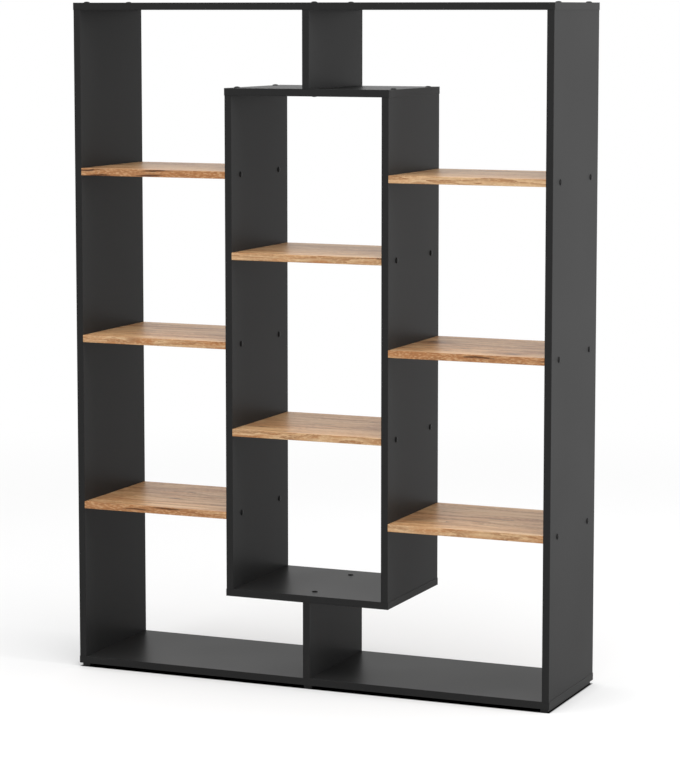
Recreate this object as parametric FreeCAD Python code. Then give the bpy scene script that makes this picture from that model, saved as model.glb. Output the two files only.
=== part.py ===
import FreeCAD, Part

import math
import os
from collections import namedtuple

# Room divider bookcase: an open carcass of laminated boards around a narrow tower that stands
# on a post and hangs from another, with shelves on both sides of the tower and inside it.
# X runs to the right, Y to the back and Z up. The origin is on the floor, in the middle.

# Boards
BOARD = 16.0                     # thickness of every board
DEPTH = 298.0                    # front edge to back edge, banding included
SHELF_LENGTH = 352.0             # every shelf, and so the clear width of each column
POST_HEIGHT = 168.0              # both posts, under and over the tower

# Clear heights between the boards of a column, from the bottom up
SIDE_LOWER_OPENING = 339.5
SIDE_MIDDLE_OPENING = 360.5
SIDE_UPPER_OPENING = 357.0
TOWER_LOWER_OPENING = 341.0
TOWER_MIDDLE_OPENING = 372.0
TOWER_UPPER_OPENING = 341.0

# Edge banding
BAND = 1.0                       # thickness of the plastic banding
BAND_EASE_SHARE = 0.6            # of that thickness, taken off each outer corner

# One-piece connector screws, countersunk with a hexagon socket
SCREW_SETBACK = 48.0             # from the front or back edge to the screw's axis
SCREW_LENGTH = 50.0
SCREW_DIAMETER = 7.0
SCREW_HEAD_DIAMETER = 10.0
SCREW_HEAD_HEIGHT = 4.0
SOCKET_ACROSS_FLATS = 4.0
SOCKET_DEPTH = 3.0

# Cover caps, a shallow dome with a hexagon peg that plugs into the screw's socket
CAP_DIAMETER = 13.0
CAP_HEIGHT = 2.5
CAP_CROWN_SHARE = 0.45           # of the cap's radius, where its flat crown ends
CAP_SHOULDER_SHARE = 0.85        # of the cap's radius, where its shoulder turns down
CAP_SHOULDER_HEIGHT_SHARE = 0.6  # of the cap's height, at that shoulder

# Glide strips under the sides and the lower post
GLIDE_HEIGHT = 8.0
GLIDE_WIDTH = 18.0
GLIDE_SETBACK = 8.0              # from the front or back edge to the strip's end
GLIDE_INSET = 3.5                # from a side's outer face to the outer strips
GLIDE_EASE = 1.5                 # bevel along the edges that meet the floor
GLIDE_SCREW_SETBACK = 20.0       # from the strip's end to its screw
GLIDE_SCREW_LENGTH = 18.0
GLIDE_SCREW_DIAMETER = 3.0
GLIDE_SCREW_HEAD_DIAMETER = 6.0
GLIDE_SCREW_HEAD_HEIGHT = 2.0
GLIDE_SCREW_RECESS = 1.0         # head below the strip's face, clear of the floor

# Fits
CLEARANCE = 0.1                  # between a hole and what it holds
OVERRUN = 1.0                    # of every cut, past the face that it starts from

# The many round fasteners and their holes are drawn with few sides, which keeps the model light
SCREW_SIDES = 8
CAP_SIDES = 10
HEXAGON_SIDES = 6

Vector = FreeCAD.Vector
UP = Vector(0, 0, 1)

# A board is kept as its reach in X and Z. All boards share one reach in Y.
Board = namedtuple("Board", "left right low high")


def middle(board):
    """A board's middle across and in height."""
    return (board.left + board.right) / 2, (board.low + board.high) / 2



front = -DEPTH / 2
back = DEPTH / 2
core_front = front + BAND
core_back = back - BAND
screw_rows = (front + SCREW_SETBACK, back - SCREW_SETBACK)

tower_half = SHELF_LENGTH / 2 + BOARD
half_width = tower_half + SHELF_LENGTH + BOARD

tower_inside = TOWER_LOWER_OPENING + TOWER_MIDDLE_OPENING + TOWER_UPPER_OPENING + 2 * BOARD
bottom_top = GLIDE_HEIGHT + BOARD
tower_base = bottom_top + POST_HEIGHT
tower_low = tower_base + BOARD
tower_high = tower_low + tower_inside
top_low = tower_high + BOARD + POST_HEIGHT


def upright(left, low, high):
    """A vertical board by its left face."""
    return Board(left, left + BOARD, low, high)


def level(left, right, low):
    """A horizontal board by its underside."""
    return Board(left, right, low, low + BOARD)


def shelves(column, left, base, openings):
    """The shelves of a column, each above the opening that it closes."""
    names = ("lower", "middle", "upper") if len(openings) > 2 else ("lower", "upper")
    column_shelves = {}
    for name, opening in zip(names, openings):
        shelf = level(left, left + SHELF_LENGTH, base + opening)
        column_shelves[f"{column}_shelf_{name}"] = shelf
        base = shelf.high
    return column_shelves


side_openings = (SIDE_LOWER_OPENING, SIDE_MIDDLE_OPENING, SIDE_UPPER_OPENING)
tower_openings = (TOWER_LOWER_OPENING, TOWER_MIDDLE_OPENING)
left_shelves = shelves("left", -half_width + BOARD, bottom_top, side_openings)
right_shelves = shelves("right", tower_half, bottom_top, side_openings)
tower_shelves = shelves("tower", -SHELF_LENGTH / 2, tower_low, tower_openings)

# Boards with banding on all four edges, because their ends show on the outside
capping_boards = {
    "bottom_panel": level(-half_width, half_width, GLIDE_HEIGHT),
    "tower_floor_panel": level(-tower_half, tower_half, tower_base),
    "tower_top_panel": level(-tower_half, tower_half, tower_high),
    "top_panel": level(-half_width, half_width, top_low),
}
standing_boards = {
    "left_side_panel": upright(-half_width, bottom_top, top_low),
    "right_side_panel": upright(half_width - BOARD, bottom_top, top_low),
    "tower_left_panel": upright(-tower_half, tower_low, tower_high),
    "tower_right_panel": upright(tower_half - BOARD, tower_low, tower_high),
    "lower_post": upright(-BOARD / 2, bottom_top, tower_base),
    "upper_post": upright(-BOARD / 2, tower_high + BOARD, top_low),
}
shelf_boards = {**left_shelves, **right_shelves, **tower_shelves}
boards = {**capping_boards, **standing_boards, **shelf_boards}

# Each panel, and the boards whose ends are screwed to it through its thickness
screwed_through = {
    "bottom_panel": ["left_side_panel", "lower_post", "right_side_panel"],
    "tower_floor_panel": ["tower_left_panel", "lower_post", "tower_right_panel"],
    "tower_top_panel": ["tower_left_panel", "upper_post", "tower_right_panel"],
    "top_panel": ["left_side_panel", "upper_post", "right_side_panel"],
    "left_side_panel": [*left_shelves],
    "right_side_panel": [*right_shelves],
    "tower_left_panel": [*left_shelves, *tower_shelves],
    "tower_right_panel": [*right_shelves, *tower_shelves],
}
# The glide strips hide the heads of these screws, which have no caps
uncapped_panel = "bottom_panel"


def few_sided(profile, sides):
    """A solid about the Z axis through pairs of radius and height, with flat sides."""
    rings = []
    for radius, height in profile:
        turns = [2 * math.pi * step / sides for step in range(sides)]
        ring = [Vector(radius * math.cos(turn), radius * math.sin(turn), height) for turn in turns]
        rings.append(ring + ring[:1])
    outlines = [rings[0], rings[-1]]
    for lower, upper in zip(rings, rings[1:]):
        for near, far in zip(range(sides), range(1, sides + 1)):
            outlines.append([lower[near], lower[far], upper[far], upper[near], lower[near]])
    faces = [Part.Face(Part.makePolygon(outline)) for outline in outlines]
    return Part.makeSolid(Part.makeShell(faces))


def hexagon_peg(across_flats, low, high):
    """A hexagon bar along the Z axis."""
    radius = across_flats / 2 / math.cos(math.pi / HEXAGON_SIDES)
    return few_sided([(radius, low), (radius, high)], HEXAGON_SIDES)


def countersunk(length, diameter, head_diameter, head_height):
    """A countersunk screw, its head flush at the origin and its shank up the Z axis."""
    shank = diameter / 2
    head = head_diameter / 2
    return few_sided([(head, 0), (shank, head_height), (shank, length)], SCREW_SIDES)


def countersunk_hole(length, diameter, head_diameter, head_height, recess=0):
    """What is cut away for such a screw, with clearance all round and an open mouth."""
    shank = diameter / 2 + CLEARANCE
    head = head_diameter / 2 + CLEARANCE
    mouth = -recess - OVERRUN
    profile = [(head, mouth), (head, 0), (shank, head_height), (shank, length + CLEARANCE)]
    return few_sided(profile, SCREW_SIDES)


def cover_cap():
    """A domed cap that stands on the face round a screw head, with its peg up the Z axis."""
    rim = CAP_DIAMETER / 2
    crown = (rim * CAP_CROWN_SHARE, -CAP_HEIGHT)
    shoulder = (rim * CAP_SHOULDER_SHARE, -CAP_HEIGHT * CAP_SHOULDER_HEIGHT_SHARE)
    dome = few_sided([crown, shoulder, (rim, 0)], CAP_SIDES)
    peg = hexagon_peg(SOCKET_ACROSS_FLATS - 2 * CLEARANCE, 0, SOCKET_DEPTH - CLEARANCE)
    return dome.fuse(peg)


def turned_to(shape, point, direction):
    """A copy of a shape made up the Z axis, moved to a point and turned to a direction."""
    return shape.transformed(FreeCAD.Placement(point, FreeCAD.Rotation(UP, direction)).toMatrix(), True)


def screw_places(panel, end_board):
    """Where the screws that hold a board's end enter the far face of a panel, and which way they go."""
    panel_across, panel_height = middle(panel)
    across, height = middle(end_board)
    if panel.high - panel.low > panel.right - panel.left:
        to_right = across > panel_across
        across = panel.left if to_right else panel.right
        direction = Vector(1 if to_right else -1, 0, 0)
    else:
        upwards = height > panel_height
        height = panel.low if upwards else panel.high
        direction = Vector(0, 0, 1 if upwards else -1)
    return [(Vector(across, row, height), direction) for row in screw_rows]


def band(corner, along, across, outward):
    """One strip of banding from a corner of a board's edge: a flat profile with two eased outer corners."""
    ease = outward * BAND_EASE_SHARE
    slip = Vector(across).normalize() * ease.Length
    shoulder = outward - ease
    corners = [
        corner,
        corner + across,
        corner + across + shoulder,
        corner + across + outward - slip,
        corner + outward + slip,
        corner + shoulder,
        corner,
    ]
    return Part.Face(Part.makePolygon(corners)).extrude(along)


def long_bands(board, lap):
    """The front and back strips of a board, which lap over its end strips if it has them."""
    width = Vector(board.right - board.left + 2 * lap, 0, 0)
    height = Vector(0, 0, board.high - board.low)
    along, across = (width, height) if width.Length > height.Length else (height, width)
    strips = []
    for edge, outward in ((core_front, -BAND), (core_back, BAND)):
        corner = Vector(board.left - lap, edge, board.low)
        strips.append(band(corner, along, across, Vector(0, outward, 0)))
    return strips


def end_bands(board):
    """The strips over the left and right ends of a horizontal board."""
    along = Vector(0, core_back - core_front, 0)
    across = Vector(0, 0, BOARD)
    strips = []
    for edge, outward in ((board.left, -BAND), (board.right, BAND)):
        corner = Vector(edge, core_front, board.low)
        strips.append(band(corner, along, across, Vector(outward, 0, 0)))
    return strips


def glide_strip(left):
    """A strip from front to back under the carcass, bevelled along the floor."""
    right = left + GLIDE_WIDTH
    outline = [
        (left + GLIDE_EASE, 0),
        (right - GLIDE_EASE, 0),
        (right, GLIDE_EASE),
        (right, GLIDE_HEIGHT),
        (left, GLIDE_HEIGHT),
        (left, GLIDE_EASE),
        (left + GLIDE_EASE, 0),
    ]
    strip_front = front + GLIDE_SETBACK
    profile = Part.makePolygon([Vector(across, strip_front, height) for across, height in outline])
    return Part.Face(profile).extrude(Vector(0, DEPTH - 2 * GLIDE_SETBACK, 0))


# Boards before drilling
solids = {}
holes = {}
for name, board in boards.items():
    size = (board.right - board.left, core_back - core_front, board.high - board.low)
    solids[name] = [Part.makeBox(*size, Vector(board.left, core_front, board.low))]
    holes[name] = []

# Banding
for name, board in capping_boards.items():
    solids[f"{name}_edge_bands"] = long_bands(board, BAND)
    solids[f"{name}_end_bands"] = end_bands(board)
for name, board in standing_boards.items():
    solids[f"{name}_edge_bands"] = long_bands(board, 0)
for column, column_shelves in (("left", left_shelves), ("right", right_shelves), ("tower", tower_shelves)):
    strips = [strip for board in column_shelves.values() for strip in long_bands(board, 0)]
    solids[f"{column}_shelf_edge_bands"] = strips

# Connector screws, their holes and their caps
screw_sizes = (SCREW_LENGTH, SCREW_DIAMETER, SCREW_HEAD_DIAMETER, SCREW_HEAD_HEIGHT)
socket = hexagon_peg(SOCKET_ACROSS_FLATS, -OVERRUN, SOCKET_DEPTH)
screw = countersunk(*screw_sizes).cut(socket)
screw_hole = countersunk_hole(*screw_sizes)
cap = cover_cap()
for panel, end_boards in screwed_through.items():
    places = []
    for end_board in end_boards:
        joint_places = screw_places(boards[panel], boards[end_board])
        joint_holes = [turned_to(screw_hole, *place) for place in joint_places]
        holes[panel] += joint_holes
        holes[end_board] += joint_holes
        places += joint_places
    solids[f"{panel}_screws"] = [turned_to(screw, *place) for place in places]
    if panel != uncapped_panel:
        solids[f"{panel}_caps"] = [turned_to(cap, *place) for place in places]

# Glide strips and their screws
glide_screw_sizes = (
    GLIDE_SCREW_LENGTH,
    GLIDE_SCREW_DIAMETER,
    GLIDE_SCREW_HEAD_DIAMETER,
    GLIDE_SCREW_HEAD_HEIGHT,
)
glide_screw = countersunk(*glide_screw_sizes)
glide_screw_hole = countersunk_hole(*glide_screw_sizes, GLIDE_SCREW_RECESS)
glide_lefts = {
    "left_glide_strip": -half_width + GLIDE_INSET,
    "middle_glide_strip": -GLIDE_WIDTH / 2,
    "right_glide_strip": half_width - GLIDE_INSET - GLIDE_WIDTH,
}
glide_screw_row = back - GLIDE_SETBACK - GLIDE_SCREW_SETBACK
solids["glide_strip_screws"] = []
for name, left in glide_lefts.items():
    centre = left + GLIDE_WIDTH / 2
    places = [(Vector(centre, row, GLIDE_SCREW_RECESS), UP) for row in (-glide_screw_row, glide_screw_row)]
    strip_holes = [turned_to(glide_screw_hole, *place) for place in places]
    solids[name] = [glide_strip(left)]
    holes[name] = strip_holes
    holes["bottom_panel"] += strip_holes
    solids["glide_strip_screws"] += [turned_to(glide_screw, *place) for place in places]

# Drilling
for name, drilled in holes.items():
    solids[name] = [solids[name][0].cut(drilled)]

os.makedirs("parts", exist_ok=True)
for name, pieces in solids.items():
    shape = pieces[0] if len(pieces) == 1 else Part.makeCompound(pieces)
    shape.exportStep(f"parts/{name}.step")
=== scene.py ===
"""Room divider bookcase: the finishes of its packed boards, and its edging, cover caps and studio."""

import math
from typing import NamedTuple

import bmesh
import bpy
from bpy.props import FloatProperty, FloatVectorProperty, PointerProperty
from mathutils import Matrix, Vector


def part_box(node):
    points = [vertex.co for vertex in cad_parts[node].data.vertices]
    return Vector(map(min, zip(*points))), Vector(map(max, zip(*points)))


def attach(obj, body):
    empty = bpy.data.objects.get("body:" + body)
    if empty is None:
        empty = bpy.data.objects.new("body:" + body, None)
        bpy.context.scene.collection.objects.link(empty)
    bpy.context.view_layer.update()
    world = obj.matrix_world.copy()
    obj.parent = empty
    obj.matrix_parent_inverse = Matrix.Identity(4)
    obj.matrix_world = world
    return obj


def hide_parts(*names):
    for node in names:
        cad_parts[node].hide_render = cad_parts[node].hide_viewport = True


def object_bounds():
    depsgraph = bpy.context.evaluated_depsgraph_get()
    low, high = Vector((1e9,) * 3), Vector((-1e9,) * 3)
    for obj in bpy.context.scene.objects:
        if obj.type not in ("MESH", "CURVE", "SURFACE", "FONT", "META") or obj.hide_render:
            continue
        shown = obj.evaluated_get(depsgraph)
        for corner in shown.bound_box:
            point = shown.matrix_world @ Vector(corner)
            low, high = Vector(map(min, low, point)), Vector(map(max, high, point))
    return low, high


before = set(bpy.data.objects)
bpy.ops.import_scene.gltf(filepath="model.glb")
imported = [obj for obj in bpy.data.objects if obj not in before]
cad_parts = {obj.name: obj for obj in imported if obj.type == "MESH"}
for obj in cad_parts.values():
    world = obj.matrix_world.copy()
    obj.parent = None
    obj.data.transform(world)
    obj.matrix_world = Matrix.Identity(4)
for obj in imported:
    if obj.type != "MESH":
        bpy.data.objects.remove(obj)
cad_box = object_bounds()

bl_info = {
    "name": "Room Divider Bookcase",
    "version": (1, 0, 0),
    "blender": (4, 5, 0),
    "location": "View3D > Sidebar > Bookcase",
    "description": "Finishes the boards of a room divider bookcase and adds its edging, caps and studio",
    "category": "Object",
}

BODY = "root"
MM = 0.001

CAPPING_BOARDS = ("bottom_panel", "tower_floor_panel", "tower_top_panel", "top_panel")
STANDING_BOARDS = (
    "left_side_panel",
    "right_side_panel",
    "tower_left_panel",
    "tower_right_panel",
    "lower_post",
    "upper_post",
)
LEFT_SHELVES = ("left_shelf_lower", "left_shelf_middle", "left_shelf_upper")
RIGHT_SHELVES = ("right_shelf_lower", "right_shelf_middle", "right_shelf_upper")
TOWER_SHELVES = ("tower_shelf_lower", "tower_shelf_upper")
SHELF_COLUMNS = {"left": LEFT_SHELVES, "right": RIGHT_SHELVES, "tower": TOWER_SHELVES}

# Each capped panel, and the boards whose screws its caps cover
CAPPED_JOINTS = {
    "tower_floor_panel": ("tower_left_panel", "lower_post", "tower_right_panel"),
    "tower_top_panel": ("tower_left_panel", "upper_post", "tower_right_panel"),
    "top_panel": ("left_side_panel", "upper_post", "right_side_panel"),
    "left_side_panel": LEFT_SHELVES,
    "right_side_panel": RIGHT_SHELVES,
    "tower_left_panel": LEFT_SHELVES + TOWER_SHELVES,
    "tower_right_panel": RIGHT_SHELVES + TOWER_SHELVES,
}
SCREWED_PANELS = ("bottom_panel", *CAPPED_JOINTS)
GLIDE_STRIPS = ("left_glide_strip", "middle_glide_strip", "right_glide_strip")

X, Y, Z = range(3)


def linear(hex_colour):
    """An sRGB hex colour as the linear red, green and blue that Blender's sockets take."""
    channels = [int(hex_colour[start:start + 2], 16) / 255 for start in (1, 3, 5)]
    return tuple(c / 12.92 if c <= 0.04045 else ((c + 0.055) / 1.055) ** 2.4 for c in channels)


def colour_property(name, hex_colour, description):
    """A setting for a colour."""
    return FloatVectorProperty(
        name=name, description=description, subtype="COLOR", size=3, min=0, max=1, default=linear(hex_colour)
    )


def length_property(name, millimetres, description):
    """A setting for a length, kept in metres."""
    return FloatProperty(
        name=name, description=description, subtype="DISTANCE", unit="LENGTH", min=0, default=millimetres * MM
    )


class BookcaseSizes(bpy.types.PropertyGroup):
    """Sizes of the pieces that are modelled here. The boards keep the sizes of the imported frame."""

    band_rounding: length_property("Band rounding", 0.8, "Radius along the outer corners of the edge banding")
    cap_diameter: length_property("Cap diameter", 13, "Across the rim of a cover cap")
    cap_height: length_property("Cap height", 2.5, "From the board's face to the crown of a cover cap")
    cap_rim: length_property("Cap rim", 0.5, "Height of the straight rim under a cap's dome")
    cap_setback: length_property("Cap setback", 48, "From a board's front or back edge to a cap's middle")
    peg_width: length_property("Peg width", 3.8, "Across the flats of a cap's hexagon peg")
    peg_length: length_property("Peg length", 2.9, "How far a cap's peg reaches into its screw")


class BookcaseColours(bpy.types.PropertyGroup):
    """Colours of the finishes."""

    anthracite: colour_property("Anthracite", "#262626", "Melamine face of the carcass boards")
    anthracite_edging: colour_property("Anthracite edging", "#282828", "Banding of the carcass boards")
    oak: colour_property("Oak", "#d6a775", "Middle tone of the oak decor")
    oak_edge: colour_property("Oak edge", "#ac8662", "Middle tone of the oak edging")
    oak_pale: colour_property("Pale oak", "#e7c69b", "Light streaks of the oak decor")
    oak_dark: colour_property("Dark oak", "#ab754b", "Dark streaks and strips of the oak decor")
    oak_red: colour_property("Red oak", "#c58c5b", "Reddish patches of the oak decor")
    oak_line: colour_property("Oak line", "#8f6442", "Growth lines of the oak decor")
    oak_crack: colour_property("Oak crack", "#4a2b1a", "Cracks and knots of the oak decor")
    cap: colour_property("Cap", "#111111", "Moulded plastic of the cover caps")
    glide: colour_property("Glide", "#262626", "Moulded plastic of the glide strips")
    zinc: colour_property("Zinc", "#b7bbbe", "Zinc plating of the screws")
    floor: colour_property("Floor", "#e4e4e4", "Studio floor")


def add_node(tree, kind, inputs=None, **settings):
    """Adds a node, makes its settings, and fills its inputs with values or with other nodes' outputs."""
    node = tree.nodes.new(kind)
    for name, value in settings.items():
        setattr(node, name, value)
    for name, value in (inputs or {}).items():
        if isinstance(value, bpy.types.NodeSocket):
            tree.links.new(value, node.inputs[name])
        else:
            node.inputs[name].default_value = value
    return node


def start_material(name, constants):
    """A material with a shader that has its constant values, ready for its patterns."""
    material = bpy.data.materials.new(name)
    material.use_nodes = True
    tree = material.node_tree
    tree.nodes.clear()
    shader = add_node(tree, "ShaderNodeBsdfPrincipled", constants)
    add_node(tree, "ShaderNodeOutputMaterial", {"Surface": shader.outputs["BSDF"]})
    return material, tree, shader


def opaque(colour, brightness=1.0):
    """A colour for a socket, with its channels times brightness and with full alpha."""
    return tuple(channel * brightness for channel in colour) + (1.0,)


def per_metre(millimetres):
    """Noise scale for features of that size."""
    return 1 / (millimetres * MM)


# Sockets of a Mix node for colours, by number because the other kinds of mix have the same names
MIX_SHARE = 0
MIX_UNDER = 6
MIX_OVER = 7
MIX_RESULT = 2

# Between these values lies most of a noise
NOISE_LOW = 0.3
NOISE_MIDDLE = 0.5
NOISE_HIGH = 0.7

# Board faces and their banding mirror equally faintly
ANTHRACITE_SPECULAR = 0.061

# How far roughness goes up and down with the grain of a surface
OAK_ROUGHNESS_SPREAD = 0.03
PLASTIC_ROUGHNESS_SPREAD = 0.04


def anthracite_melamine(colours):
    """Particle board faced with melamine paper, pressed against a satin plate.

    The colour is even, and the skin is smooth enough to mirror faintly what stands behind it at a low angle.
    """
    constants = {"Specular IOR Level": ANTHRACITE_SPECULAR}
    material, tree, shader = start_material("anthracite_melamine", constants)
    place = add_node(tree, "ShaderNodeTexCoord").outputs["Object"]
    # The plate's pearl grain is about 0.5 mm, drawn at 3 mm so that it shows at all
    pearl = add_node(tree, "ShaderNodeTexNoise", {"Vector": place, "Scale": per_metre(3), "Detail": 1.0})
    darker = opaque(colours.anthracite, brightness=0.94)
    lighter = opaque(colours.anthracite, brightness=1.06)
    tone = add_node(
        tree, "ShaderNodeMix",
        {MIX_SHARE: pearl.outputs["Fac"], MIX_UNDER: darker, MIX_OVER: lighter}, data_type="RGBA",
    )
    # Resin cures a little duller in clouds a forearm wide
    cloud = add_node(tree, "ShaderNodeTexNoise", {"Vector": place, "Scale": per_metre(250), "Detail": 1.0})
    skin = add_node(
        tree, "ShaderNodeMapRange",
        {
            "Value": cloud.outputs["Fac"],
            "From Min": NOISE_LOW,
            "From Max": NOISE_HIGH,
            "To Min": 0.35,
            "To Max": 0.38,
        },
    )
    grain = add_node(
        tree, "ShaderNodeBump", {"Height": pearl.outputs["Fac"], "Strength": 0.02, "Distance": 0.05 * MM}
    )
    tree.links.new(tone.outputs[MIX_RESULT], shader.inputs["Base Color"])
    tree.links.new(skin.outputs["Result"], shader.inputs["Roughness"])
    tree.links.new(grain.outputs["Normal"], shader.inputs["Normal"])
    return material


# Patterns of the oak decor, in mm along the grain and across it
OAK_KNOTS = (260, 120)
OAK_SWAY = (230, 90)
OAK_GROWTH = (800, 46)
OAK_STREAKS = (420, 24)
OAK_BLUSH = (140, 32)
OAK_FADING = (240, 22)
# Real fibres are about 0.5 mm wide, drawn at 3.5 mm so that they show at all
OAK_FIBRES = (80, 3.5)
# Strips of edging are cut from different places on a roll, so some are darker
OAK_STRIPS = (900, 110)

# Where the strips' noise starts, in patterns, so that three of the eight shelves have dark fronts
STRIP_START = (1182, 0, 0)
# Up to the first value of that noise a strip is pale, and from the second on it is dark
STRIP_PALE = 0.48
STRIP_DARK = 0.54
# How strongly reddish patches cover. Pale rings cover by what is left of 1.
OAK_REDNESS = 0.35
# Rings over the whole range of the growth noise, and how far fibres fray their lines, in rings
OAK_RINGS = 6.0
RING_FRAY = 0.35
# How far flecks fray the edge of a crack, in cells
CRACK_FRAY = 0.3
# Share of cells that hold a knot, how far it pulls the fibres, in cells, and their sway far off and in it
KNOTTED_SHARE = 0.34
KNOT_REACH = 0.5
SWAY_FAR = 0.7
SWAY_AT_KNOT = 2.2
# Over this step in its rank a cell goes from empty to full
RANK_STEP = 0.04


def grain_scale(size, size_share=1.0):
    """Patterns per metre along X, the way of the grain, and across it."""
    along, across = size
    return (per_metre(along * size_share), per_metre(across * size_share), per_metre(across * size_share))


class OakPrint(NamedTuple):
    """How the oak decor is printed on one kind of face.

    The sizes above are multiplied by size_share, apart from strips. In dark strips the dark tone covers
    strip_change of the rest. Flecks are of fleck_size, in mm, and dark ones lie where the pattern fleck_guide
    is high.

    Each cell of crack_cell, in mm, has a place for a crack, and cracked_share of those in dark strips hold
    one. It ends and is full at the two values of crack_reach, in cells from its middle and with its fray.
    crack_turn lays the cells on the face.
    """

    size_share: float
    fleck_size: tuple
    fleck_guide: str
    strip_change: float
    crack_cell: tuple
    crack_turn: tuple
    cracked_share: float
    crack_reach: tuple
    specular: float
    roughness: float


# Real flecks are about 1.5 mm wide, drawn at 3 mm or more so that they show at all. A slight turn about Y
# gives each shelf height its own cracks, and a quarter turn about X stands them upright.
SHELF_PRINT = OakPrint(
    size_share=1.0,
    fleck_size=(12, 4),
    fleck_guide="blush",
    strip_change=0.1,
    crack_cell=(220, 30),
    crack_turn=(0, 0.3, 0),
    cracked_share=0.2,
    crack_reach=(0.31, 0.20),
    specular=0.16,
    roughness=0.38,
)
EDGE_PRINT = OakPrint(
    size_share=0.4,
    fleck_size=(8, 3),
    fleck_guide="strip",
    strip_change=0.8,
    crack_cell=(200, 14),
    crack_turn=(-math.pi / 2, 0, 0),
    cracked_share=0.9,
    crack_reach=(0.36, 0.25),
    specular=0.1,
    roughness=0.40,
)


def oak_patterns(tree, design):
    """The values that the oak decor's colours follow, by name."""
    share = design.size_share
    place = add_node(tree, "ShaderNodeTexCoord").outputs["Object"]
    knot_place = add_node(
        tree, "ShaderNodeMapping", {"Vector": place, "Scale": grain_scale(OAK_KNOTS, share)}
    )
    knot = add_node(
        tree, "ShaderNodeTexVoronoi", {"Vector": knot_place.outputs["Vector"], "Scale": 1.0}
    ).outputs
    knot_rank = add_node(tree, "ShaderNodeSeparateColor", {"Color": knot["Color"]}).outputs["Red"]

    # Fibres sway over a few hundred millimetres, and more beside a knot
    sway_place = add_node(
        tree, "ShaderNodeMapping", {"Vector": place, "Scale": grain_scale(OAK_SWAY, share)}
    )
    sway = add_node(
        tree, "ShaderNodeTexNoise", {"Vector": sway_place.outputs["Vector"], "Scale": 1.0, "Detail": 1.0}
    )
    offset = add_node(
        tree, "ShaderNodeMath", {0: sway.outputs["Fac"], 1: NOISE_MIDDLE}, operation="SUBTRACT"
    )
    knot_pull = add_node(
        tree, "ShaderNodeMapRange",
        {
            "Value": knot["Distance"],
            "From Min": KNOT_REACH,
            "From Max": 0.0,
            "To Min": SWAY_FAR,
            "To Max": SWAY_AT_KNOT,
        },
    )
    pulled = add_node(
        tree, "ShaderNodeMath",
        {0: offset.outputs["Value"], 1: knot_pull.outputs["Result"]}, operation="MULTIPLY",
    )
    reach = OAK_GROWTH[1] * share * MM
    sideways = add_node(
        tree, "ShaderNodeVectorMath",
        {0: (0, reach, reach), "Scale": pulled.outputs["Value"]}, operation="SCALE",
    )
    swayed = add_node(
        tree, "ShaderNodeVectorMath", {0: place, 1: sideways.outputs["Vector"]}, operation="ADD"
    ).outputs["Vector"]

    patterns = {"knot": knot["Distance"], "knot_rank": knot_rank}
    for feature, scale, detail in (
        ("growth", grain_scale(OAK_GROWTH, share), 1.5),
        ("streak", grain_scale(OAK_STREAKS, share), 3.0),
        ("blush", grain_scale(OAK_BLUSH, share), 2.0),
        ("fading", grain_scale(OAK_FADING, share), 1.0),
        ("fibre", grain_scale(OAK_FIBRES, share), 3.0),
        ("fleck", grain_scale(design.fleck_size), 1.0),
    ):
        stretched = add_node(tree, "ShaderNodeMapping", {"Vector": swayed, "Scale": scale})
        patterns[feature] = add_node(
            tree, "ShaderNodeTexNoise",
            {"Vector": stretched.outputs["Vector"], "Scale": 1.0, "Detail": detail},
        ).outputs["Fac"]

    strip_place = add_node(
        tree, "ShaderNodeMapping",
        {"Vector": place, "Scale": grain_scale(OAK_STRIPS), "Location": STRIP_START},
    )
    strip = add_node(
        tree, "ShaderNodeTexNoise", {"Vector": strip_place.outputs["Vector"], "Scale": 1.0, "Detail": 0.0}
    )
    patterns["strip"] = add_node(
        tree, "ShaderNodeMapRange",
        {"Value": strip.outputs["Fac"], "From Min": STRIP_PALE, "From Max": STRIP_DARK},
    ).outputs["Result"]

    crack_place = add_node(
        tree, "ShaderNodeMapping",
        {"Vector": swayed, "Scale": grain_scale(design.crack_cell), "Rotation": design.crack_turn},
    )
    crack = add_node(
        tree, "ShaderNodeTexVoronoi",
        {"Vector": crack_place.outputs["Vector"], "Scale": 1.0}, voronoi_dimensions="2D",
    ).outputs
    patterns["crack"] = add_node(
        tree, "ShaderNodeMath",
        {0: patterns["fleck"], 1: CRACK_FRAY, 2: crack["Distance"]}, operation="MULTIPLY_ADD",
    ).outputs["Value"]
    # Cracks keep to dark strips
    crack_rank = add_node(tree, "ShaderNodeSeparateColor", {"Color": crack["Color"]}).outputs["Green"]
    patterns["crack_rank"] = add_node(
        tree, "ShaderNodeMath", {0: crack_rank, 1: patterns["strip"]}, operation="MULTIPLY"
    ).outputs["Value"]

    # From 0 where a ring starts to 1 where the next one does, with a line that fibres fray
    rings = add_node(
        tree, "ShaderNodeMath", {0: patterns["growth"], 1: OAK_RINGS}, operation="MULTIPLY"
    ).outputs["Value"]
    frayed = add_node(
        tree, "ShaderNodeMath", {0: patterns["fibre"], 1: RING_FRAY, 2: rings}, operation="MULTIPLY_ADD"
    ).outputs["Value"]
    patterns["ring"] = add_node(tree, "ShaderNodeMath", {0: frayed}, operation="FRACT").outputs["Value"]
    return patterns


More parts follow.
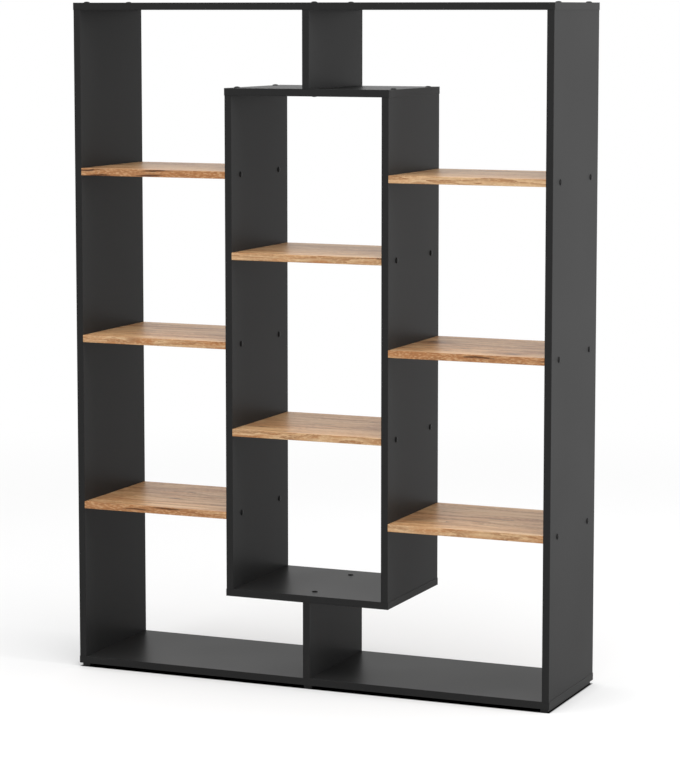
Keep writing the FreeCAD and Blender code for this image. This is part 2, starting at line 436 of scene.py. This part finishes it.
def oak_decor(name, base, colours, design):
    """Printed decor of old knotty oak with its grain along X.

    Growth rings run in long flames, each with a brown line that fades to honey. Over them lie darker
    streaks and strips, reddish patches, fine fibres, flecks, ragged cracks, and knots that rings flow round.
    """
    material, tree, shader = start_material(name, {"Specular IOR Level": design.specular})
    patterns = oak_patterns(tree, design)
    ring = patterns["ring"]
    fibre = patterns["fibre"]
    fleck = patterns["fleck"]
    knot = patterns["knot"]

    # A switch is the value that it follows, and where it is off and on
    uncracked = 1.0 - design.cracked_share
    unknotted = 1.0 - KNOTTED_SHARE
    cracked = (patterns["crack_rank"], (uncracked, uncracked + RANK_STEP))
    knotted = (patterns["knot_rank"], (unknotted, unknotted + RANK_STEP))
    lined = (patterns["fading"], (0.38, 0.60))
    flecked = (patterns[design.fleck_guide], (0.44, 0.58))
    # A layer is a colour, the value that it follows from none to all, how strongly it covers, and its switch
    layers = (
        (colours.oak_pale, ring, (0.25, 1.0), 1.0 - OAK_REDNESS, None),
        (colours.oak_dark, patterns["streak"], (0.50, 0.36), 0.9, None),
        (colours.oak_red, patterns["blush"], (0.46, 0.64), OAK_REDNESS, None),
        (colours.oak_dark, patterns["strip"], (0.0, 1.0), design.strip_change, None),
        (colours.oak_line, ring, (0.34, 0.0), 0.85, lined),
        (colours.oak_dark, fibre, (0.54, 0.70), 0.5, None),
        (colours.oak_line, fleck, (0.50, 0.68), 0.5, flecked),
        (colours.oak_pale, fleck, (0.50, 0.32), 0.35, None),
        (colours.oak_crack, patterns["crack"], design.crack_reach, 0.85, cracked),
        (colours.oak_line, knot, (0.24, 0.10), 0.6, knotted),
        (colours.oak_crack, knot, (0.10, 0.03), 0.85, knotted),
    )
    tone = opaque(base)
    for colour, value, (none, full), strength, switch in layers:
        share = add_node(
            tree, "ShaderNodeMapRange",
            {"Value": value, "From Min": none, "From Max": full, "To Max": strength},
        ).outputs["Result"]
        if switch:
            rank, (off, on) = switch
            active = add_node(tree, "ShaderNodeMapRange", {"Value": rank, "From Min": off, "From Max": on})
            share = add_node(
                tree, "ShaderNodeMath", {0: share, 1: active.outputs["Result"]}, operation="MULTIPLY"
            ).outputs["Value"]
        tone = add_node(
            tree, "ShaderNodeMix",
            {MIX_SHARE: share, MIX_UNDER: tone, MIX_OVER: opaque(colour)}, data_type="RGBA",
        ).outputs[MIX_RESULT]

    skin = add_node(
        tree, "ShaderNodeMapRange",
        {
            "Value": fibre,
            "From Min": NOISE_LOW,
            "From Max": NOISE_HIGH,
            "To Min": design.roughness - OAK_ROUGHNESS_SPREAD,
            "To Max": design.roughness + OAK_ROUGHNESS_SPREAD,
        },
    )
    relief = add_node(
        tree, "ShaderNodeBump", {"Height": fibre, "Strength": 0.03, "Distance": 0.1 * MM}, invert=True
    )
    tree.links.new(tone, shader.inputs["Base Color"])
    tree.links.new(skin.outputs["Result"], shader.inputs["Roughness"])
    tree.links.new(relief.outputs["Normal"], shader.inputs["Normal"])
    return material


def moulded_plastic(name, colour, grit, roughness, specular):
    """Plastic from a mould or die, with a fine matt grain. grit is its size in mm, coarse enough to show."""
    material, tree, shader = start_material(name, {"Specular IOR Level": specular})
    place = add_node(tree, "ShaderNodeTexCoord").outputs["Object"]
    grain = add_node(tree, "ShaderNodeTexNoise", {"Vector": place, "Scale": per_metre(grit), "Detail": 2.0})
    darker = opaque(colour, brightness=0.88)
    lighter = opaque(colour, brightness=1.12)
    tone = add_node(
        tree, "ShaderNodeMix",
        {MIX_SHARE: grain.outputs["Fac"], MIX_UNDER: darker, MIX_OVER: lighter}, data_type="RGBA",
    )
    sheen = add_node(
        tree, "ShaderNodeMapRange",
        {
            "Value": grain.outputs["Fac"],
            "From Min": NOISE_LOW,
            "From Max": NOISE_HIGH,
            "To Min": roughness - PLASTIC_ROUGHNESS_SPREAD,
            "To Max": roughness + PLASTIC_ROUGHNESS_SPREAD,
        },
    )
    bump = add_node(
        tree, "ShaderNodeBump", {"Height": grain.outputs["Fac"], "Strength": 0.1, "Distance": 0.05 * MM}
    )
    tree.links.new(tone.outputs[MIX_RESULT], shader.inputs["Base Color"])
    tree.links.new(sheen.outputs["Result"], shader.inputs["Roughness"])
    tree.links.new(bump.outputs["Normal"], shader.inputs["Normal"])
    return material


def zinc_plated_steel(colours):
    """Cold-headed steel screws with bright zinc plating, a little clouded."""
    material, tree, shader = start_material("zinc_plated_steel", {"Metallic": 1.0})
    place = add_node(tree, "ShaderNodeTexCoord").outputs["Object"]
    cloud = add_node(tree, "ShaderNodeTexNoise", {"Vector": place, "Scale": per_metre(3), "Detail": 3.0})
    darker = opaque(colours.zinc, brightness=0.85)
    lighter = opaque(colours.zinc, brightness=1.1)
    tone = add_node(
        tree, "ShaderNodeMix",
        {MIX_SHARE: cloud.outputs["Fac"], MIX_UNDER: darker, MIX_OVER: lighter}, data_type="RGBA",
    )
    polish = add_node(
        tree, "ShaderNodeMapRange", {"Value": cloud.outputs["Fac"], "To Min": 0.25, "To Max": 0.45}
    )
    tree.links.new(tone.outputs[MIX_RESULT], shader.inputs["Base Color"])
    tree.links.new(polish.outputs["Result"], shader.inputs["Roughness"])
    return material


def finish_nodes(names, material):
    """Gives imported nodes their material."""
    for name in names:
        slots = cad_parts[name].data.materials
        slots.clear()
        slots.append(material)


def new_piece(name, mesh, material, replaced):
    """Makes an object of a mesh that is already in its place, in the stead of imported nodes."""
    data = bpy.data.meshes.new(name)
    mesh.to_mesh(data)
    mesh.free()
    data.materials.append(material)
    piece = bpy.data.objects.new(name, data)
    bpy.context.scene.collection.objects.link(piece)
    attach(piece, BODY)
    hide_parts(*replaced)
    return piece


ROUNDING_SEGMENTS = 4


def add_strip(mesh, low, high, outward, rounding, round_ends):
    """Adds a strip of banding with rounded outer corners. outward is its axis and the side that shows."""
    axis, side = outward
    size = high - low
    long_axis = max((other for other in (X, Y, Z) if other != axis), key=lambda other: size[other])
    corners = bmesh.ops.create_cube(mesh, size=1)["verts"]
    bmesh.ops.scale(mesh, vec=size, verts=corners)
    bmesh.ops.translate(mesh, vec=(low + high) / 2, verts=corners)
    face = high[axis] if side > 0 else low[axis]
    outer = {corner for corner in corners if abs(corner.co[axis] - face) < size[axis] / 2}
    edges = []
    for edge in {edge for corner in outer for edge in corner.link_edges}:
        start, end = edge.verts
        along = abs(start.co[long_axis] - end.co[long_axis]) > size[long_axis] / 2
        if start in outer and end in outer and (along or round_ends):
            edges.append(edge)
    bmesh.ops.bevel(
        mesh, geom=edges, offset=rounding, affect="EDGES", segments=ROUNDING_SEGMENTS, profile=0.5,
        material=-1,
    )


def add_band_pair(mesh, bands, board, axis, rounding, round_ends=False):
    """Adds the two strips on opposite edges of a board. bands is the box that they fill together."""
    low, high = bands
    board_low, board_high = board
    for side, edge in ((-1, board_low[axis]), (1, board_high[axis])):
        strip_low, strip_high = low.copy(), high.copy()
        (strip_high if side < 0 else strip_low)[axis] = edge
        add_strip(mesh, strip_low, strip_high, (axis, side), rounding, round_ends)
    bmesh.ops.recalc_face_normals(mesh, faces=mesh.faces)


def cap_places(panel, joined, setback):
    """Where the caps of a panel's joints sit, and which way they face."""
    panel_low, panel_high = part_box(panel)
    rows = (cad_box[0].y + setback, cad_box[1].y - setback)
    standing = panel_high.z - panel_low.z > panel_high.x - panel_low.x
    axis = X if standing else Z
    places = []
    for board in joined:
        middle = sum(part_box(board), Vector()) / 2
        board_is_higher = middle[axis] > (panel_low[axis] + panel_high[axis]) / 2
        outward = Vector()
        outward[axis] = -1 if board_is_higher else 1
        for row in rows:
            seat = middle.copy()
            seat.y = row
            seat[axis] = panel_low[axis] if board_is_higher else panel_high[axis]
            places.append((seat, outward))
    return places


# The dome has a multiple of the peg's sides, so each point of its foot has a partner on the peg
CAP_SIDES = 24
DOME_STEPS = 5
HEXAGON_SIDES = 6
MERGE_DISTANCE = 0.01 * MM
# Cap edges that turn more than this are drawn sharp
SHARP_ANGLE = math.radians(50)


def cover_cap(sizes):
    """One domed cap that faces +Z, with a hexagon peg drawn out of its underside, as a closed mesh."""
    mesh = bmesh.new()
    rim = sizes.cap_diameter / 2
    dome = sizes.cap_height - sizes.cap_rim
    outline = [(rim, 0), (rim, sizes.cap_rim)]
    for step in range(1, DOME_STEPS + 1):
        angle = math.pi / 2 * step / DOME_STEPS
        outline.append((rim * math.cos(angle), sizes.cap_rim + dome * math.sin(angle)))
    profile = [mesh.verts.new((radius, 0, height)) for radius, height in outline]
    edges = [mesh.edges.new(pair) for pair in zip(profile, profile[1:])]
    bmesh.ops.spin(
        mesh, geom=profile + edges, axis=(0, 0, 1), cent=(0, 0, 0), angle=2 * math.pi, steps=CAP_SIDES,
        use_merge=True,
    )
    bmesh.ops.remove_doubles(mesh, verts=mesh.verts, dist=MERGE_DISTANCE)

    peg_radius = sizes.peg_width / 2 / math.cos(math.pi / HEXAGON_SIDES)
    bmesh.ops.create_circle(mesh, cap_ends=False, segments=HEXAGON_SIDES, radius=peg_radius)
    sides = [edge for edge in mesh.edges if edge.is_wire]
    bmesh.ops.subdivide_edges(mesh, edges=sides, cuts=CAP_SIDES // HEXAGON_SIDES - 1)
    ring = [edge for edge in mesh.edges if edge.is_wire]
    drawn = bmesh.ops.extrude_edge_only(mesh, edges=ring)["geom"]
    peg_end = {part for part in drawn if isinstance(part, bmesh.types.BMVert)}
    bmesh.ops.translate(mesh, vec=(0, 0, -sizes.peg_length), verts=list(peg_end))
    bmesh.ops.edgeloop_fill(mesh, edges=[edge for edge in mesh.edges if peg_end.issuperset(edge.verts)])
    bmesh.ops.bridge_loops(mesh, edges=[edge for edge in mesh.edges if edge.is_boundary])

    bmesh.ops.recalc_face_normals(mesh, faces=mesh.faces)
    if mesh.calc_volume(signed=True) < 0:
        bmesh.ops.reverse_faces(mesh, faces=mesh.faces)
    cap = bpy.data.meshes.new("cover_cap")
    mesh.to_mesh(cap)
    mesh.free()
    return cap


def add_copy(mesh, pattern, seat, outward):
    """Adds a copy of a mesh that faces +Z, set on its seat and turned outward."""
    turned = Vector((0, 0, 1)).rotation_difference(outward).to_matrix().to_4x4()
    placed = pattern.copy()
    placed.transform(Matrix.Translation(seat) @ turned)
    mesh.from_mesh(placed)
    bpy.data.meshes.remove(placed)


class BOOKCASE_OT_carcass_boards(bpy.types.Operator):
    """Finish the side panels, level panels, tower and posts in anthracite melamine"""

    bl_idname = "bookcase.carcass_boards"
    bl_label = "Carcass Boards"

    def execute(self, context):
        finish_nodes(CAPPING_BOARDS + STANDING_BOARDS, anthracite_melamine(context.scene.bookcase_colours))
        return {"FINISHED"}


class BOOKCASE_OT_oak_shelves(bpy.types.Operator):
    """Finish the shelves of all three columns in knotty oak decor"""

    bl_idname = "bookcase.oak_shelves"
    bl_label = "Oak Shelves"

    def execute(self, context):
        colours = context.scene.bookcase_colours
        material = oak_decor("oak_decor_melamine", colours.oak, colours, SHELF_PRINT)
        finish_nodes(LEFT_SHELVES + RIGHT_SHELVES + TOWER_SHELVES, material)
        return {"FINISHED"}


class BOOKCASE_OT_edge_banding(bpy.types.Operator):
    """Make the rounded plastic banding on the edges of every board"""

    bl_idname = "bookcase.edge_banding"
    bl_label = "Edge Banding"

    def execute(self, context):
        colours = context.scene.bookcase_colours
        rounding = context.scene.bookcase_sizes.band_rounding
        anthracite = moulded_plastic(
            "anthracite_edging", colours.anthracite_edging,
            grit=3, roughness=0.37, specular=ANTHRACITE_SPECULAR,
        )
        for board in CAPPING_BOARDS + STANDING_BOARDS:
            node = f"{board}_edge_bands"
            mesh = bmesh.new()
            add_band_pair(mesh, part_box(node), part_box(board), Y, rounding, board in CAPPING_BOARDS)
            new_piece(f"{board}_edging", mesh, anthracite, [node])
        for board in CAPPING_BOARDS:
            node = f"{board}_end_bands"
            mesh = bmesh.new()
            add_band_pair(mesh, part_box(node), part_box(board), X, rounding)
            new_piece(f"{board}_end_edging", mesh, anthracite, [node])
        oak = oak_decor("oak_edging", colours.oak_edge, colours, EDGE_PRINT)
        for column, shelves in SHELF_COLUMNS.items():
            node = f"{column}_shelf_edge_bands"
            mesh = bmesh.new()
            for shelf in shelves:
                low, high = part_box(shelf)
                bands = (low.copy(), high.copy())
                for corner, reach in zip(bands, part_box(node)):
                    corner.y = reach.y
                add_band_pair(mesh, bands, (low, high), Y, rounding)
            new_piece(f"{column}_shelf_edging", mesh, oak, [node])
        return {"FINISHED"}


class BOOKCASE_OT_cover_caps(bpy.types.Operator):
    """Make the domed caps over the connector screws"""

    bl_idname = "bookcase.cover_caps"
    bl_label = "Cover Caps"

    def execute(self, context):
        sizes = context.scene.bookcase_sizes
        colour = context.scene.bookcase_colours.cap
        plastic = moulded_plastic("black_cap_plastic", colour, grit=1.5, roughness=0.4, specular=0.1)
        cap = cover_cap(sizes)
        for panel, joined in CAPPED_JOINTS.items():
            mesh = bmesh.new()
            for seat, outward in cap_places(panel, joined, sizes.cap_setback):
                add_copy(mesh, cap, seat, outward)
            caps = new_piece(f"{panel}_cover_caps", mesh, plastic, [f"{panel}_caps"])
            caps.data.shade_smooth()
            caps.data.set_sharp_from_angle(angle=SHARP_ANGLE)
        bpy.data.meshes.remove(cap)
        return {"FINISHED"}


class BOOKCASE_OT_screws(bpy.types.Operator):
    """Finish the connector screws and the glide strips' screws in zinc"""

    bl_idname = "bookcase.screws"
    bl_label = "Screws"

    def execute(self, context):
        screws = [f"{panel}_screws" for panel in SCREWED_PANELS] + ["glide_strip_screws"]
        finish_nodes(screws, zinc_plated_steel(context.scene.bookcase_colours))
        return {"FINISHED"}


class BOOKCASE_OT_glide_strips(bpy.types.Operator):
    """Finish the glide strips under the carcass in black plastic"""

    bl_idname = "bookcase.glide_strips"
    bl_label = "Glide Strips"

    def execute(self, context):
        colour = context.scene.bookcase_colours.glide
        plastic = moulded_plastic("black_glide_plastic", colour, grit=2, roughness=0.5, specular=0.3)
        finish_nodes(GLIDE_STRIPS, plastic)
        return {"FINISHED"}


# The camera stands 23 degrees to the right of the front and looks a little down, much as in the photograph
CAMERA_PLACE = (2.4583, -5.7179, 1.4776)
CAMERA_TURN = math.radians(23.121)
CAMERA_DIP = math.radians(6.42)
CAMERA_LENS = 133.341
CAMERA_SHIFT = -0.07

# Each soft box: its name, its place and side in metres, and its power in watts
SOFT_BOXES = (
    ("overhead_soft_box", (0.1, -0.9, 4.2), 3.0, 90),
    ("right_soft_box", (3.2, -0.2, 1.6), 1.0, 57),
)

FLOOR_RADIUS = 14.0
FLOOR_SEGMENTS = 96
# Distances from the middle between which the floor turns to plain white
FLOOR_FADE = (1.2, 4.0)
# Share of plain white in the floor close by, for the camera, and how far beside the bookcase it is in full
FLOOR_GLOW = 0.35
FLOOR_GLOW_EDGE = 0.03
# How far under the bookcase the floor's colour goes to black, a painted shade under the bookcase
FLOOR_PAINTED_SHADE_EDGE = 0.004
# Share of the floor's brightness in the light that it throws back at the bookcase
FLOOR_BOUNCE = 0.7
# Share of plain white in the light that the surround throws on the bookcase
SURROUND_LIGHT = 0.97
WHITE = (1, 1, 1, 1)
BLACK = (0, 0, 0, 1)


class BOOKCASE_OT_stage(bpy.types.Operator):
    """Make the white studio: floor, surround, soft lights and camera"""

    bl_idname = "bookcase.stage"
    bl_label = "Studio"

    def execute(self, context):
        scene = context.scene
        scene.view_settings.view_transform = "Standard"
        self.make_floor(scene)
        self.make_surround(scene)
        for name, place, size, power in SOFT_BOXES:
            self.make_light(scene, name, place, size, power)
        camera = bpy.data.cameras.new("photo_camera")
        camera.lens = CAMERA_LENS
        camera.shift_y = CAMERA_SHIFT
        viewer = bpy.data.objects.new("photo_camera", camera)
        viewer.location = CAMERA_PLACE
        viewer.rotation_euler = (math.pi / 2 - CAMERA_DIP, 0, CAMERA_TURN)
        scene.collection.objects.link(viewer)
        scene.camera = viewer
        return {"FINISHED"}

    @staticmethod
    def seen_directly(tree):
        """1 for what the camera sees, also mirrored or through glass, and 0 for light on matt surfaces."""
        rays = add_node(tree, "ShaderNodeLightPath").outputs
        direct = add_node(
            tree, "ShaderNodeMath", {0: rays["Is Camera Ray"], 1: rays["Is Glossy Ray"]}, operation="MAXIMUM"
        )
        through = add_node(
            tree, "ShaderNodeMath",
            {0: direct.outputs["Value"], 1: rays["Is Transmission Ray"]}, operation="MAXIMUM",
        )
        return through.outputs["Value"]

    def make_floor(self, scene):
        """A pale disc that keeps the shadow and fades into the white surround."""
        mesh = bmesh.new()
        bmesh.ops.create_circle(mesh, cap_ends=True, segments=FLOOR_SEGMENTS, radius=FLOOR_RADIUS)
        data = bpy.data.meshes.new("studio_floor")
        mesh.to_mesh(data)
        mesh.free()
        data.materials.append(self.floor_material(scene.bookcase_colours.floor))
        floor = bpy.data.objects.new("studio_floor", data)
        scene.collection.objects.link(floor)

    def floor_material(self, floor_colour):
        """Matt paint that turns to plain white far off, with painted shade under the bookcase, where it is
        black.
        """
        material = bpy.data.materials.new("studio_floor")
        material.use_nodes = True
        tree = material.node_tree
        tree.nodes.clear()
        place = add_node(tree, "ShaderNodeTexCoord").outputs["Object"]
        camera_ray = add_node(tree, "ShaderNodeLightPath").outputs["Is Camera Ray"]

        distance = add_node(tree, "ShaderNodeVectorMath", {0: place}, operation="LENGTH").outputs["Value"]
        fade = add_node(
            tree, "ShaderNodeMapRange",
            {"Value": distance, "From Min": FLOOR_FADE[0], "From Max": FLOOR_FADE[1]},
            interpolation_type="SMOOTHSTEP",
        ).outputs["Result"]
        far = add_node(
            tree, "ShaderNodeMath", {0: fade, 1: self.seen_directly(tree)}, operation="MULTIPLY"
        ).outputs["Value"]

        # How far a point lies outside the bookcase's footprint, or, below zero, inside it
        reach = add_node(tree, "ShaderNodeVectorMath", {0: place}, operation="ABSOLUTE").outputs["Vector"]
        past = add_node(
            tree, "ShaderNodeVectorMath", {0: reach, 1: cad_box[1]}, operation="SUBTRACT"
        ).outputs["Vector"]
        beside = add_node(tree, "ShaderNodeSeparateXYZ", {"Vector": past}).outputs
        outside = add_node(
            tree, "ShaderNodeMath", {0: beside["X"], 1: beside["Y"]}, operation="MAXIMUM"
        ).outputs["Value"]

        # The floor close by glows a little for the camera, but not under the bookcase
        clear = add_node(
            tree, "ShaderNodeMapRange",
            {"Value": outside, "From Min": 0.0, "From Max": FLOOR_GLOW_EDGE, "To Max": FLOOR_GLOW},
        ).outputs["Result"]
        near = add_node(
            tree, "ShaderNodeMath", {0: clear, 1: camera_ray}, operation="MULTIPLY"
        ).outputs["Value"]
        white = add_node(tree, "ShaderNodeMath", {0: far, 1: near}, operation="MAXIMUM").outputs["Value"]

        bounced = opaque(floor_colour, brightness=FLOOR_BOUNCE)
        colour = add_node(
            tree, "ShaderNodeMix",
            {MIX_SHARE: camera_ray, MIX_UNDER: bounced, MIX_OVER: opaque(floor_colour)}, data_type="RGBA",
        ).outputs[MIX_RESULT]
        # Painted shade: inside the footprint the floor's colour goes to black, standing in for the deep shade
        # in the gap under the bottom panel
        painted_shade = add_node(
            tree, "ShaderNodeMapRange", {"Value": outside, "From Min": 0.0, "From Max": -FLOOR_PAINTED_SHADE_EDGE}
        ).outputs["Result"]
        colour_with_painted_shade = add_node(
            tree, "ShaderNodeMix",
            {MIX_SHARE: painted_shade, MIX_UNDER: colour, MIX_OVER: BLACK}, data_type="RGBA",
        ).outputs[MIX_RESULT]
        paint = add_node(tree, "ShaderNodeBsdfDiffuse", {"Color": colour_with_painted_shade})
        glow = add_node(tree, "ShaderNodeEmission", {"Color": WHITE, "Strength": 1.0})
        mix = add_node(
            tree, "ShaderNodeMixShader", {0: white, 1: paint.outputs["BSDF"], 2: glow.outputs["Emission"]}
        )
        add_node(tree, "ShaderNodeOutputMaterial", {"Surface": mix.outputs["Shader"]})
        return material

    def make_surround(self, scene):
        """Plain white all round, and a little less than that as light on the bookcase."""
        world = bpy.data.worlds.new("studio_surround")
        world.use_nodes = True
        tree = world.node_tree
        tree.nodes.clear()
        soft = add_node(tree, "ShaderNodeBackground", {"Color": WHITE, "Strength": SURROUND_LIGHT})
        white = add_node(tree, "ShaderNodeBackground", {"Color": WHITE, "Strength": 1.0})
        mix = add_node(
            tree, "ShaderNodeMixShader",
            {0: self.seen_directly(tree), 1: soft.outputs["Background"], 2: white.outputs["Background"]},
        )
        add_node(tree, "ShaderNodeOutputWorld", {"Surface": mix.outputs["Shader"]})
        scene.world = world

    @staticmethod
    def make_light(scene, name, place, size, power):
        """A square soft box that faces the middle of the bookcase."""
        lamp = bpy.data.lights.new(name, "AREA")
        lamp.shape = "SQUARE"
        lamp.size = size
        lamp.energy = power
        light = bpy.data.objects.new(name, lamp)
        light.location = place
        middle = sum(cad_box, Vector()) / 2
        light.rotation_euler = (middle - light.location).to_track_quat("-Z", "Y").to_euler()
        scene.collection.objects.link(light)


OPERATORS = (
    BOOKCASE_OT_carcass_boards,
    BOOKCASE_OT_oak_shelves,
    BOOKCASE_OT_edge_banding,
    BOOKCASE_OT_cover_caps,
    BOOKCASE_OT_screws,
    BOOKCASE_OT_glide_strips,
    BOOKCASE_OT_stage,
)


class BOOKCASE_PT_sidebar(bpy.types.Panel):
    """Lists the bookcase's pieces, sizes and colours"""

    bl_idname = "BOOKCASE_PT_sidebar"
    bl_label = "Bookcase"
    bl_space_type = "VIEW_3D"
    bl_region_type = "UI"
    bl_category = "Bookcase"

    def draw(self, context):
        for operator in OPERATORS:
            self.layout.operator(operator.bl_idname)
        for group in (context.scene.bookcase_sizes, context.scene.bookcase_colours):
            column = self.layout.column()
            for name in group.__annotations__:
                column.prop(group, name)


CLASSES = (BookcaseSizes, BookcaseColours, *OPERATORS, BOOKCASE_PT_sidebar)


def register():
    for cls in CLASSES:
        bpy.utils.register_class(cls)
    bpy.types.Scene.bookcase_sizes = PointerProperty(type=BookcaseSizes)
    bpy.types.Scene.bookcase_colours = PointerProperty(type=BookcaseColours)


def unregister():
    del bpy.types.Scene.bookcase_colours
    del bpy.types.Scene.bookcase_sizes
    for cls in reversed(CLASSES):
        bpy.utils.unregister_class(cls)


def main():
    """Builds everything."""
    register()
    bpy.ops.bookcase.stage()
    bpy.ops.bookcase.carcass_boards()
    bpy.ops.bookcase.oak_shelves()
    bpy.ops.bookcase.edge_banding()
    bpy.ops.bookcase.cover_caps()
    bpy.ops.bookcase.screws()
    bpy.ops.bookcase.glide_strips()


if __name__ == "__main__":
    main()
